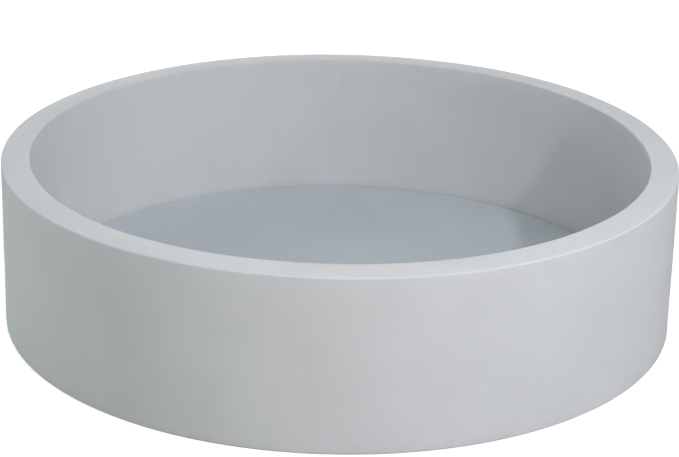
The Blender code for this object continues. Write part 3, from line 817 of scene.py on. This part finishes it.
class BALLPIT_OT_base_bands(bpy.types.Operator):
    """Makes the two knit bands under the foot, each folded into a hem at the zip's slit and stitched"""

    bl_idname = "ballpit.base_bands"
    bl_label = "Base bands"

    def execute(self, context):
        sizes = context.scene.ball_pit_sizes
        middle = wall_middle(sizes)
        for name, side in SIDES:
            node = f"base_band_{name}"
            radii = [math.hypot(point.co.x, point.co.y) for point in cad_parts[node].data.vertices]
            slit, edge = sorted(abs(radius - middle) for radius in (min(radii), max(radii)))
            section = [(middle + side * y, z) for y, z in folded_band(slit, edge, sizes.cloth)]
            mesh = skin(f"{node}_hem", turned(section, full_circle(sizes.wall_steps)), ring=True)
            piece = add_piece(mesh, "knit", "ring", node)
            for number, place in enumerate((slit + HEM_STITCH, edge - EDGE_STITCH)):
                ring_stitches(f"{node}_stitches_{number + 1}", middle + side * place, sizes)
        return {"FINISHED"}


class BALLPIT_OT_wall_foam(bpy.types.Operator):
    """Makes the wall's four foam quarters, with the channel that the zip presses into them"""

    bl_idname = "ballpit.wall_foam"
    bl_label = "Wall foam"

    def execute(self, context):
        sizes = context.scene.ball_pit_sizes
        low = low_of(FOAM_ARCS[0]).z
        middle = wall_middle(sizes)
        ceiling = high_of("ring_zip_slider").z + SLIDER_ROOM
        outside = wall_profile(sizes, sizes.cloth + FOAM_EASE, (4, 16))
        section = [point for point in outside if point[1] > low + 0.0002]
        first, last = section[0][0], section[-1][0]
        channel = [
            (CHANNEL_HALF, low), (CHANNEL_HALF, ceiling - CHANNEL_BEVEL),
            (CHANNEL_HALF - CHANNEL_BEVEL, ceiling),
        ]
        channel += [(-y, z) for y, z in reversed(channel)]
        section += [(last - FOAM_BEVEL, low)] + [(middle + y, z) for y, z in channel]
        section += [(first + FOAM_BEVEL, low)]
        quarter = FULL_TURN / len(FOAM_ARCS)
        gap = JOINT_HALF / middle
        for number, node in enumerate(FOAM_ARCS):
            start = number * quarter + gap
            angles = np.linspace(start, start + quarter - 2 * gap, sizes.wall_steps // 8)
            rows = settled(turned(section, angles), sizes)
            mesh = crisp(skin(f"foam_quarter_{number + 1}", rows))
            piece = add_piece(mesh, "foam", "ring", node)
        return {"FINISHED"}


def fleece(name, low, high):
    """A pad with an uneven brushed face, between its two corners."""
    thin = 1 if high.y - low.y < high.x - low.x else 0
    wide = 1 - thin
    across = np.linspace(low[wide], high[wide], 13)
    upward = np.linspace(low.z, high.z, 45)
    grid = np.zeros((len(upward), 2 * len(across), 3))
    grid[..., 2] = upward[:, None]
    grid[..., wide] = np.concatenate([across, across[::-1]])
    lumps = NAP * np.random.default_rng(7).random((len(upward), len(across)))
    grid[:, : len(across), thin] = low[thin] + lumps
    grid[:, len(across) :, thin] = high[thin]
    return skin(name, grid)


class BALLPIT_OT_joining_pads(bpy.types.Operator):
    """Finishes the hook pads and lays brushed loop pads, which hold the foam quarters end to end"""

    bl_idname = "ballpit.joining_pads"
    bl_label = "Joining pads"

    def execute(self, context):
        for number in range(1, len(FOAM_ARCS) + 1):
            dress_node(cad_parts[f"hook_pad_{number}"], "hook", PAD_BEVEL)
            loop = f"loop_pad_{number}"
            mesh = fleece(f"loop_fleece_{number}", *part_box(loop))
            piece = add_piece(mesh, "loop", "ring", loop)
            add_modifier(piece, "edge", "BEVEL", width=PAD_BEVEL, segments=2, limit_method="ANGLE")
        return {"FINISHED"}


# The ring zip

RING_TAPE_NEAR = 0.0018
RING_TAPE_FAR = 0.0155
COIL_BACK = 0.0026
COIL_HEAD = -0.0006
PATCH_SWELL = 0.0004


def ring_angles(node):
    """The angles that a ring zip's part starts and ends at, counted on from the gap at the back."""
    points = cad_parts[node].data.vertices
    angles = [(math.atan2(p.co.y, p.co.x) - BACK) % FULL_TURN + BACK for p in points]
    return min(angles), max(angles)


def add_ring_coil(name, side, middle, sizes):
    """One half of the coil: every turn is bent back under itself, with its head at the middle."""
    node = f"ring_zip_coil_{name}"
    start, end = ring_angles(node)
    low, high = low_of(node).z, high_of(node).z
    radius = sizes.coil_wire / 2
    centre = (low + high) / 2
    lift = (high - low) / 2 - radius
    back, neck, head = COIL_BACK - radius, 0.0001, COIL_HEAD + radius
    loop = np.array([
        (-0.5, back, 0), (-0.28, back - 0.0005, -lift), (-0.06, neck, -lift),
        (0, head, 0), (0.06, neck, lift), (0.28, back - 0.0005, lift),
    ])
    turns = int((end - start) * middle / sizes.coil_pitch) - 1
    offset = 0.25 if side > 0 else 0.75
    numbers = (np.arange(turns)[:, None] + offset + 0.25 + loop[None, :, 0]).ravel()
    place = start + numbers * (end - start) / (turns + 1)
    reach = middle + side * np.tile(loop[:, 1], turns)
    height = centre + np.tile(loop[:, 2], turns)
    line = np.stack([reach * np.cos(place), reach * np.sin(place), height], axis=-1)
    add_piece(wire(f"ring_coil_{name}", line, radius, 4), "nylon", "ring", node)


def add_ring_patch(middle, low, high, start, end):
    """The piece of knit that closes the slit where the zip's two ends meet."""
    gap = FIT / middle
    angles = np.linspace(end + gap, start + FULL_TURN - gap, 24)
    across = np.linspace(middle - RING_TAPE_FAR, middle + RING_TAPE_FAR, 15)
    swell = PATCH_SWELL * np.cos(np.linspace(-math.pi / 2, math.pi / 2, 15))
    section = [(r, high - z) for r, z in zip(across, swell * 0.3)]
    section += [(r, low - z) for r, z in zip(across[::-1], swell)]
    mesh = skin("ring_end_patch", turned(section, angles))
    piece = add_piece(mesh, "knit", "ring", "ring_zip_end_patch")


class BALLPIT_OT_ring_zip(bpy.types.Operator):
    """Makes the ring zip's tapes, wound coils and end patch"""

    bl_idname = "ballpit.ring_zip"
    bl_label = "Ring zip"

    def execute(self, context):
        sizes = context.scene.ball_pit_sizes
        middle = wall_middle(sizes)
        start, end = ring_angles("ring_zip_tape_outer")
        low, high = low_of("ring_zip_tape_outer").z, high_of("ring_zip_tape_outer").z
        near, far, sewn = RING_TAPE_NEAR, RING_TAPE_FAR, RING_TAPE_NEAR + 0.0008
        section = [(far, low), (sewn, low), (near, low + 0.0001)]
        section += [(near, high - 0.0001), (sewn, high), (far, high)]
        angles = np.linspace(start, end, sizes.wall_steps)
        for name, side in SIDES:
            rows = turned([(middle + side * y, z) for y, z in section], angles)
            mesh = crisp(skin(f"ring_tape_{name}", rows))
            add_piece(mesh, "tape", "ring", f"ring_zip_tape_{name}")
            add_ring_coil(name, side, middle, sizes)
        add_ring_patch(middle, low, high, start, end)
        return {"FINISHED"}


# The floor mat

MAT_RADIUS = high_of("mat_side_band").x
MAT_HEIGHT = high_of("mat_top_panel").z
SEAM_RADIUS = high_of("mat_top_panel").x
SEAM_HEIGHT = low_of("mat_top_panel").z
SEAM_TURN = 0.006
SEAM_TUCK = 0.0006
MAT_PUCKER = 0.0005
PUCKER_REACH = 0.07
MAT_LEAN = 0.0018
MAT_EASE = 0.0010
MAT_GRIP = (0.22, 0.08)
MAT_LUMPS = (31, 0.20)
MAT_HELD = SEAM_HEIGHT + 0.002
MAT_REAR = low_of("mat_zip_tape_back").x
MAT_FRONT = high_of("mat_zip_tape_back").x
MAT_SLIT = 0.0082
MAT_HEM = 0.0192
OPENING = 0.0004
DISC_EDGE = 0.002
DISC_PIN = 0.004
HEMS_TROUGH = (0.0196, 0.0043)
CHAIN_TROUGH = 0.0107
TROUGH_ROOM = 0.0008


def mat_profile(sizes, depth, steps):
    """The mat's crowned top from its rounded edge to near the middle, set in by depth."""
    edge = SEAM_RADIUS - MAT_LEAN - sizes.mat_round
    shoulder = MAT_HEIGHT - sizes.mat_crown - sizes.mat_round
    rounded = arc((edge, shoulder), sizes.mat_round - depth, 0, 90, 8)
    line = filled([(SEAM_RADIUS - depth, SEAM_HEIGHT), rounded[0]], [3]) + rounded[1:]
    radii = edge * (1 - (np.arange(1, steps) / steps) ** 1.25)
    return line + [(r, MAT_HEIGHT - sizes.mat_crown * (r / edge) ** 2 - depth) for r in radii]


def add_mat_top(sizes):
    """The top panel, gathered a little at its seam."""
    angles = full_circle(sizes.mat_steps)
    rings = turned(mat_profile(sizes, 0, 44), angles).transpose(1, 0, 2)
    radius = np.hypot(rings[..., 0], rings[..., 1])
    near_seam = np.clip(1 - (SEAM_RADIUS - radius) / PUCKER_REACH, 0, 1) ** 2
    inside = smooth((SEAM_RADIUS - radius) / SEAM_TURN)
    pucker = MAT_PUCKER * near_seam * inside * ripple(angles, 17, 60, 120)[None]
    cover, moves = mat_filling(sizes)
    centre = np.array([[(0, 0, MAT_HEIGHT)]])
    middle = centre[0] + carried(centre, cover, moves)[0] - (0, 0, MAT_EASE)
    rings += carried(rings, cover, moves)
    rings[..., 2] += pucker - MAT_EASE * inside
    index = numbered(rings)
    last = index[-1].tolist()
    faces = bands(index[:-1], index[1:])
    faces += [(a, b, index.size) for a, b in zip(last, last[1:] + last[:1])]
    points = np.concatenate([rings.reshape(-1, 3), middle])
    plan = points[[corner for face in faces for corner in face], :2]
    mesh = closed_mesh("mat_top_cloth", points, faces, plan)
    piece = add_piece(mesh, "mat", "mat", "mat_top_panel")
    add_modifier(piece, "cloth", "SOLIDIFY", thickness=sizes.cloth, offset=-1)


def mat_filling(sizes):
    """How the mat's foam pushes its cover up between the seams."""
    low = low_of("mat_side_band").z
    section = filled([(0.01, low), (SEAM_RADIUS, low), (SEAM_RADIUS, SEAM_HEIGHT)], [20, 3])
    section += mat_profile(sizes, 0, 24)[1:]
    solid = spun_solid("stuffed_mat", section, sizes.mat_steps)
    return stuffed(solid, MAT_GRIP, MAT_LUMPS, lambda points: points[:, 2] < MAT_HELD, sizes.mat_swell)


def add_mat_side(sizes):
    """The side band, drawn in at its two seams."""
    low, high = low_of("mat_side_band").z, high_of("mat_side_band").z
    line = [(SEAM_RADIUS - SEAM_TUCK, high)]
    for share in (0.06, 0.2, 0.4, 0.6, 0.8, 0.94):
        swell = (MAT_RADIUS - SEAM_RADIUS) * math.sin(math.pi * share) ** 0.6
        line.append((SEAM_RADIUS + swell, high + (low - high) * share))
    line.append((SEAM_RADIUS - SEAM_TUCK, low))
    section = line + [(r - sizes.cloth, z) for r, z in reversed(line)]
    mesh = skin("mat_side_cloth", turned(section, full_circle(sizes.mat_steps)), ring=True)
    piece = add_piece(mesh, "mat", "mat", "mat_side_band")


def add_mat_bottom(name, side, sizes):
    """One half of the bottom, folded into a hem along the zip."""
    node = f"mat_bottom_panel_{name}"
    places = SEAM_RADIUS * np.sin(np.linspace(-1, 1, 121) * math.pi / 2) * 0.9995
    steps = OPENING * np.array([-2, -1, 0, 1])
    rows = []
    for x in np.sort(np.concatenate([places, MAT_REAR - steps, MAT_FRONT + steps])):
        past_rear, to_front = (x - MAT_REAR + OPENING, MAT_FRONT + OPENING - x)
        opened = float(smooth(past_rear / (2 * OPENING)) * smooth(to_front / (2 * OPENING)))
        reach = math.sqrt(SEAM_RADIUS**2 - x**2)
        section = bottom_section(reach, opened, sizes.cloth)
        rows.append([(x, side * y, z) for y, z in section])
    piece = add_piece(crisp(skin(f"{node}_hem", rows)), "mat", "mat", node)
    span = MAT_FRONT - MAT_REAR
    stitches = int(span / sizes.stitch)
    along = MAT_REAR + span * ((np.arange(stitches) + 0.5) / stitches)
    for number, y in enumerate((MAT_SLIT + HEM_STITCH, MAT_HEM - EDGE_STITCH)):
        centres = [(x, side * y, STITCH_LEVEL) for x in along]
        sew(f"{node}_stitches_{number + 1}", centres, (1, 0, 0), "mat", sizes)


def bottom_section(reach, opened, cloth):
    """One half in section: the underside outwards, the edge, and the upper side back to the hem."""
    near = FIT / 2 + (MAT_SLIT - FIT / 2) * opened
    top = cloth * (1 + opened)
    far = max(reach, near + 0.0004)
    span = far - near
    fold = min(0.0006, span / 4)
    hem = min(MAT_HEM, far - fold * 0.4)
    under = [(near + fold + (span - 1.5 * fold) * t, 0) for t in np.linspace(0, 1, 22) ** 1.6]
    edge = [(far, cloth * 0.4), (far, cloth * 0.8)]
    back = [(hem + (far - fold * 0.3 - hem) * t, cloth) for t in (1, 0.8, 0.6, 0.4, 0.2, 0.01)]
    ridge = [
        (hem, cloth + (top - cloth) * 0.5), (hem - fold * 0.2, top),
        (near + (hem - near) * 0.5, top), (near + fold, top),
        (near + fold * 0.3, top - (top - cloth * 0.7) * 0.25), (near, top * 0.5),
        (near + fold * 0.3, cloth * 0.2),
    ]
    return under + edge + back + ridge


class BALLPIT_OT_mat_cover(bpy.types.Operator):
    """Makes the mat's cover: the crowned top, the side band and the two halves of its bottom"""

    bl_idname = "ballpit.mat_cover"
    bl_label = "Mat cover"

    def execute(self, context):
        sizes = context.scene.ball_pit_sizes
        add_mat_top(sizes)
        add_mat_side(sizes)
        for name, side in HALVES:
            add_mat_bottom(name, side, sizes)
        return {"FINISHED"}


def cut_channel(piece):
    """Presses the shallow trough of the hems and the deeper one of the chain into the underside."""
    ceiling = high_of("mat_zip_slider").z + SLIDER_ROOM
    for name, half, top in (("hems", *HEMS_TROUGH), ("chain", CHAIN_TROUGH, ceiling)):
        bm = bmesh.new()
        bmesh.ops.create_cube(bm, size=1)
        size = Vector((MAT_FRONT - MAT_REAR + TROUGH_ROOM, 2 * half, 2 * top))
        bmesh.ops.scale(bm, vec=size, verts=bm.verts)
        bmesh.ops.translate(bm, vec=((MAT_REAR + MAT_FRONT) / 2, 0, 0), verts=bm.verts)
        mesh = bpy.data.meshes.new(name)
        bm.to_mesh(mesh)
        bm.free()
        tool = new_object(mesh)
        add_modifier(piece, name, "BOOLEAN", object=tool, operation="DIFFERENCE", solver="EXACT")
        settle(piece)
        bpy.data.objects.remove(tool)
    piece.data.shade_smooth()
    crisp(piece.data)


class BALLPIT_OT_mat_foam(bpy.types.Operator):
    """Makes the mat's foam disc, with the channel over its zip"""

    bl_idname = "ballpit.mat_foam"
    bl_label = "Mat foam"

    def execute(self, context):
        sizes = context.scene.ball_pit_sizes
        top = mat_profile(sizes, sizes.cloth + FOAM_EASE + MAT_EASE, 24)
        low = low_of("mat_foam").z
        edge = top[0][0] - DISC_EDGE
        line = filled([(DISC_PIN, low), (edge, low)], [12])
        line += arc((edge, low + DISC_EDGE), DISC_EDGE, -90, 0, 3)[1:]
        line += top + [(DISC_PIN, top[-1][1])]
        piece = add_piece(spun_solid("mat_foam_disc", line, 240), "foam", "mat", "mat_foam")
        cut_channel(piece)
        return {"FINISHED"}


# The mat zip

MAT_TAPE = (0.0030, 0.0076, 0.0101, 0.0181)
TAPE_THICK = 0.0006
BEAD = 0.0005
TOOTH_OUTLINE = (
    (0.00125, 0.0038), (0.0014, 0.0034), (0.0014, 0.0028), (0.00060, 0.0023), (0.00055, 0.0012),
    (0.00110, 0.0001), (0.00128, -0.0006), (0.00105, -0.0014), (0.00055, -0.00195),
)
TOOTH_LAYERS = ((0.82, -0.5), (0.96, -0.40), (1.0, 0), (0.96, 0.40), (0.82, 0.5))


def add_mat_teeth(name, side, low, high, sizes):
    """One row of separate teeth, each moulded round the tape's edge."""
    number = round((high.x - low.x) / sizes.tooth_pitch)
    first = low.x + sizes.tooth_pitch * (1 if side > 0 else 3) / 4
    places = first + np.arange(number) * sizes.tooth_pitch
    centres = [(x, 0, (low.z + high.z) / 2) for x in places if x < high.x]
    tooth = tooth_solid(high.z - low.z)
    mesh = crisp(copies(f"mat_teeth_{name}", tooth, centres, (side, 0, 0), (0, 0, 1)))
    add_piece(mesh, "nylon", "mat", f"mat_zip_teeth_{name}")


def tooth_solid(thick):
    """One tooth in plan from its foot on the tape to its head past the middle, with rounded edges."""
    outline = np.array(TOOTH_OUTLINE + tuple((-x, y) for x, y in reversed(TOOTH_OUTLINE)))
    middle = outline.mean(axis=0)
    return small_solid([
        [(x, y, height * thick) for x, y in middle + (outline - middle) * inset]
        for inset, height in TOOTH_LAYERS
    ])


class BALLPIT_OT_mat_zip(bpy.types.Operator):
    """Makes the mat zip's tapes and its moulded teeth"""

    bl_idname = "ballpit.mat_zip"
    bl_label = "Mat zip"

    def execute(self, context):
        sizes = context.scene.ball_pit_sizes
        low = low_of("mat_zip_tape_back").z
        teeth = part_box("mat_zip_teeth_back")
        near, flat, sewn, far = MAT_TAPE
        raised = (teeth[0].z + teeth[1].z - TAPE_THICK) / 2
        under = [(far, low), (sewn, low), (flat, raised), (near + 0.0007, raised)]
        bead = arc((near + BEAD, raised + TAPE_THICK / 2), BEAD, -60, -300, 6)
        section = under + bead + [(y, z + TAPE_THICK) for y, z in reversed(under)]
        along = np.linspace(MAT_REAR, MAT_FRONT, 160)
        for name, side in HALVES:
            rows = [[(x, side * y, z) for y, z in section] for x in along]
            mesh = crisp(skin(f"mat_tape_{name}", rows))
            add_piece(mesh, "tape", "mat", f"mat_zip_tape_{name}")
            add_mat_teeth(name, side, *teeth, sizes)
        return {"FINISHED"}


class BALLPIT_OT_zip_metal(bpy.types.Operator):
    """Gives the sliders, pulls and stops of both zips their zinc finish and rounded edges"""

    bl_idname = "ballpit.zip_metal"
    bl_label = "Zip metal"

    def execute(self, context):
        sizes = context.scene.ball_pit_sizes
        for name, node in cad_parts.items():
            if name.endswith(("_slider", "_pull")) or "_stop" in name:
                dress_node(node, "zinc", sizes.metal_bevel)
        return {"FINISHED"}


# The studio

FLOOR = 25.0
BACKDROP = 1.4 * FLOOR
FLOOR_DROP = 0.0002
SENSOR = 36
SOFTBOXES = (
    ("key", (1.870167, -2.121288, 2.062187), (0, 0, 0.15), 0.14, 41.6, (0.98, 0.96, 1.0)),
    ("overhead", (0, -1.8, 3.0), (0, -0.3, 0), 1.6, 37.0, (1.0, 1.0, 1.0)),
    ("overhead_right", (1.6, -0.2, 3.0), (0.3, 0, 0), 1.6, 13.5, (0.94, 0.975, 1.0)),
    ("front", (0, -4.0, 2.6), (0, 0, 0), 2.0, 72.0, (1.0, 0.93, 0.87)),
    ("left", (-4.0, -0.6, 2.0), (0, 0, 0), 2.0, 14.0, (0.67, 1.0, 0.92)),
    ("right", (4.0, -0.6, 2.0), (0, 0, 0), 2.0, 35.0, (1.0, 0.985, 0.98)),
    ("low_left", (-3.0, 1.1, 0.25), (0, 0, 0.15), 1.0, 37.4, (0.98, 1.0, 1.0)),
    ("behind", (-0.9, 1.7, 1.2), (-0.3, 0.4, 0.3), 0.8, 8.2, (0.98, 0.99, 1.0)),
    ("back", (-0.2, 3.4, 0.45), (0, 0, 0.12), 1.6, 42.0, (1.0, 1.0, 1.0)),
)


def set_up(item, place, target, roll=0.0):
    """Puts a light or camera at a place, turned to its target."""
    item.location = place
    item.rotation_mode = "QUATERNION"
    way = (Vector(target) - Vector(place)).to_track_quat("-Z", "Y")
    item.rotation_quaternion = way @ Quaternion((0, 0, 1), roll)


def add_surfaces():
    """A pale floor for the camera, a duller one that throws light back up, and a white backdrop."""
    corners = [(-FLOOR, -FLOOR), (FLOOR, -FLOOR), (FLOOR, FLOOR), (-FLOOR, FLOOR)]
    for name, kind in (("studio_floor", "floor"), ("studio_floor_bounce", "bounce")):
        mesh = bpy.data.meshes.new(name)
        mesh.from_pydata([(x, y, -FLOOR_DROP) for x, y in corners], [], [(0, 1, 2, 3)])
        add_surface(mesh, kind)
    bm = bmesh.new()
    bmesh.ops.create_icosphere(bm, subdivisions=4, radius=BACKDROP)
    mesh = bpy.data.meshes.new("studio_backdrop")
    bm.to_mesh(mesh)
    bm.free()
    add_surface(mesh, "backdrop")


def add_surface(mesh, kind):
    """Adds a stage object that only the camera or only the bounced light meets."""
    mesh.materials.append(finish_of(kind))
    item = new_object(mesh)
    seen = kind != "bounce"
    item.visible_camera = seen
    item.visible_diffuse = not seen
    item.visible_glossy = not seen
    item.visible_transmission = not seen
    item.visible_shadow = False


def add_lights(studio):
    """Square softboxes, their powers in watts, and plain white surroundings."""
    for name, place, target, size, power, value in SOFTBOXES:
        light = bpy.data.lights.new(f"{name}_light", "AREA")
        light.shape = "SQUARE"
        light.size = size
        light.energy = power
        light.color = value
        lamp = new_object(light)
        lamp.visible_camera = False
        set_up(lamp, place, target)
    world = bpy.data.worlds.new("studio_surroundings")
    world.use_nodes = True
    ground = world.node_tree.nodes["Background"]
    ground.inputs["Color"].default_value = (1, 1, 1, 1)
    ground.inputs["Strength"].default_value = studio.sky
    bpy.context.scene.world = world


def add_camera(studio):
    target = Vector((studio.aim_x, 0, studio.aim_z))
    flat = studio.distance * math.cos(studio.rise)
    lens = bpy.data.cameras.new("studio_camera")
    lens.lens = studio.lens
    lens.sensor_width = SENSOR
    view = new_object(lens)
    place = target + Vector((0, -flat, studio.distance * math.sin(studio.rise)))
    set_up(view, place, target, studio.roll)
    bpy.context.scene.camera = view


class BALLPIT_OT_stage(bpy.types.Operator):
    """Sets up the pale floor, the soft lights, the plain surroundings and the camera"""

    bl_idname = "ballpit.stage"
    bl_label = "Stage"

    def execute(self, context):
        studio = context.scene.ball_pit_studio
        add_surfaces()
        add_lights(studio)
        add_camera(studio)
        context.scene.view_settings.view_transform = "Standard"
        context.scene.view_settings.look = "None"
        return {"FINISHED"}


# The add-on

GROUPS = {
    "ball_pit_sizes": BallPitSizes,
    "ball_pit_colours": BallPitColours,
    "ball_pit_studio": BallPitStudio,
}
OPERATORS = (
    BALLPIT_OT_wall_sleeve,
    BALLPIT_OT_base_bands,
    BALLPIT_OT_wall_foam,
    BALLPIT_OT_joining_pads,
    BALLPIT_OT_ring_zip,
    BALLPIT_OT_mat_cover,
    BALLPIT_OT_mat_foam,
    BALLPIT_OT_mat_zip,
    BALLPIT_OT_zip_metal,
    BALLPIT_OT_stage,
)


class BALLPIT_PT_sidebar(bpy.types.Panel):
    """Lists the ball pit's operators and settings"""

    bl_label = "Ball Pit"
    bl_idname = "BALLPIT_PT_sidebar"
    bl_space_type = "VIEW_3D"
    bl_region_type = "UI"
    bl_category = "Ball Pit"

    def draw(self, context):
        for operator in OPERATORS:
            self.layout.operator(operator.bl_idname)
        for name, kind in GROUPS.items():
            box = self.layout.box()
            for setting in kind.__annotations__:
                box.prop(getattr(context.scene, name), setting)


CLASSES = (*GROUPS.values(), *OPERATORS, BALLPIT_PT_sidebar)


def register():
    for item in CLASSES:
        bpy.utils.register_class(item)
    for name, kind in GROUPS.items():
        setattr(bpy.types.Scene, name, bpy.props.PointerProperty(type=kind))


def unregister():
    for name in GROUPS:
        delattr(bpy.types.Scene, name)
    for item in reversed(CLASSES):
        bpy.utils.unregister_class(item)


def main():
    """Makes every piece in order."""
    register()
    for operator in OPERATORS:
        group, name = operator.bl_idname.split(".")
        getattr(getattr(bpy.ops, group), name)()


if __name__ == "__main__":
    main()
